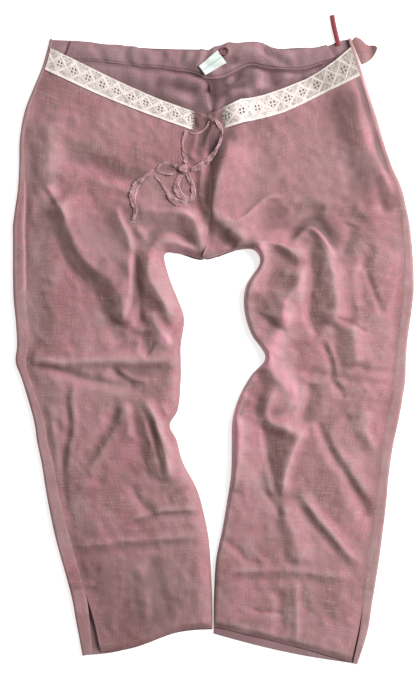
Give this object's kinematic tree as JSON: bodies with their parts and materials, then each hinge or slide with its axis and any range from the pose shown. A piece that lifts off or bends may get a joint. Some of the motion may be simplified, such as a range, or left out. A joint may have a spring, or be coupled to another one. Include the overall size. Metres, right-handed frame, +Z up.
{
  "type": "maternity trousers laid flat",
  "caption": "Cropped linen maternity trousers laid flat, with a low lace-edged front waist, a gathered back waist, a drawstring bow and slit hems.",
  "frame": {"origin": "middle of the laid-out garment, on the surface that it lies on", "axes": "+Z up from the surface, +Y from the hems toward the waist, +X toward the wearer's left leg, front of the garment up"},
  "size_m": [0.5823, 0.944, 0.027],
  "materials": {
    "linen": "woven rose linen, washed and creased",
    "lace": "cream cotton crochet lace",
    "drawstring": "narrow linen tape with frayed pale edges",
    "label": "smooth white satin, bare",
    "loop": "red-brown cord",
    "ribbon": "dark red satin ribbon"
  },
  "bodies": {
    "root": {"front_right": "linen", "front_left": "linen", "back_right": "linen", "back_left": "linen", "waist_casing": "linen", "side_tab": "linen", "lace_right": "lace", "lace_left": "lace", "drawstring_right": "drawstring", "drawstring_left": "drawstring", "bow_knot": "drawstring", "bow_loop_right": "drawstring", "bow_loop_left": "drawstring", "bow_tail_right": "drawstring", "bow_tail_left": "drawstring", "waist_cord": "drawstring", "care_label": "label", "label_loop": "loop", "ribbon_loop": "ribbon"}
  },
  "joints": []
}
